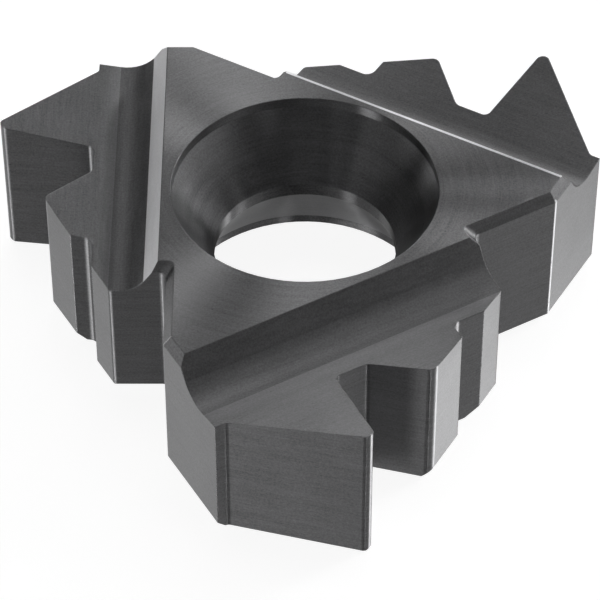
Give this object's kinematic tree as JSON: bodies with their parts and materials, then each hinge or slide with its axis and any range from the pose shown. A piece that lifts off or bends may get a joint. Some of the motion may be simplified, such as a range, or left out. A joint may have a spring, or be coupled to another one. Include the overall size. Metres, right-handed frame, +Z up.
{
  "type": "threading insert",
  "caption": "Triangular laydown insert that cuts a buttress thread on a lathe: a profile tooth and a ground chip groove at each corner, round a countersunk screw hole.",
  "frame": {"origin": "on the axis of the screw hole, in the plane of the flat bottom face", "axes": "+Z runs up along the screw hole from the bottom face to the top face; the chip groove of the left-hand corner runs along +Y and that corner's teeth stand out towards -X; the other two corners are the same, turned about +Z by a third of a turn"},
  "size_m": [0.0218, 0.0196, 0.0062],
  "materials": {
    "carbide": "ground and dark coated, semi-matt"
  },
  "bodies": {
    "root": {"threading_insert": "carbide"}
  },
  "joints": []
}
